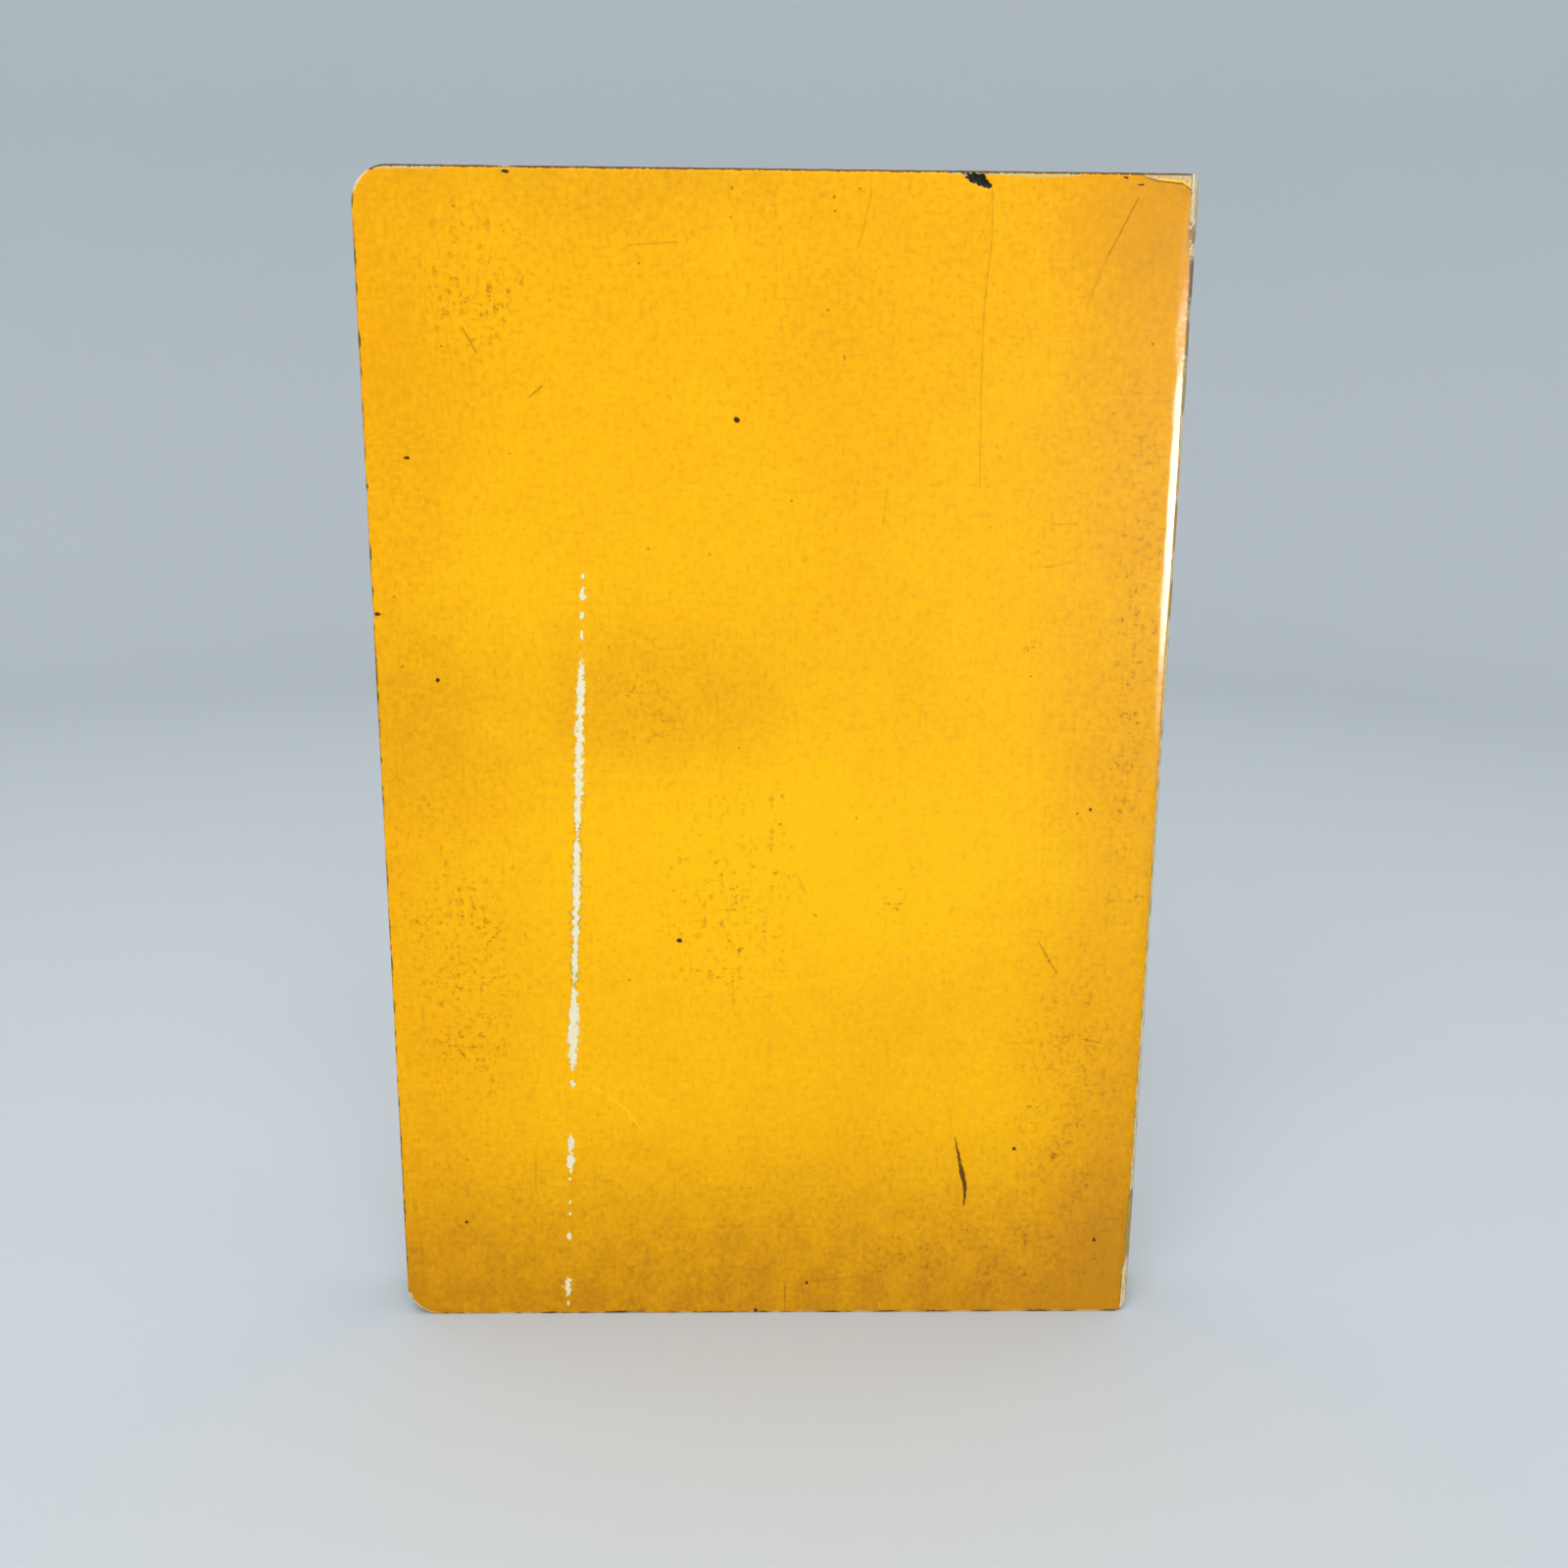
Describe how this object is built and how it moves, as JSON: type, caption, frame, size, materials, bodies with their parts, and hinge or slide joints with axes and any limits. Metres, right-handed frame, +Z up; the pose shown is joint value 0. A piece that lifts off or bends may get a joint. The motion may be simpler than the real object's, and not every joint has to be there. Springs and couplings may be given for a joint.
{
  "type": "paperback book",
  "caption": "Closed paperback book: a block of leaves glued into a folded card cover, whose front and back covers open.",
  "frame": {"origin": "middle of the tail edge, on the surface that the closed book stands on", "axes": "+Z up along the book's height, +X towards the spine, -Y out of the back cover"},
  "size_m": [0.127, 0.015, 0.19],
  "materials": {
    "leaves": "matte",
    "glue": "satin",
    "cover_card": "satin"
  },
  "bodies": {
    "book_block": {"page_block": "leaves", "spine_glue": "glue", "spine_cover": "cover_card"},
    "front_cover": {"front_cover": "cover_card"},
    "back_cover": {"back_cover": "cover_card"}
  },
  "joints": [
    {"name": "front_cover_hinge", "type": "hinge", "parent": "book_block", "child": "front_cover", "pos_m": [0.058, 0.0075, 0.095], "axis": [0, 0, -1], "range_deg": [0, 175]},
    {"name": "back_cover_hinge", "type": "hinge", "parent": "book_block", "child": "back_cover", "pos_m": [0.058, -0.0075, 0.095], "axis": [0, 0, 1], "range_deg": [0, 175]}
  ]
}
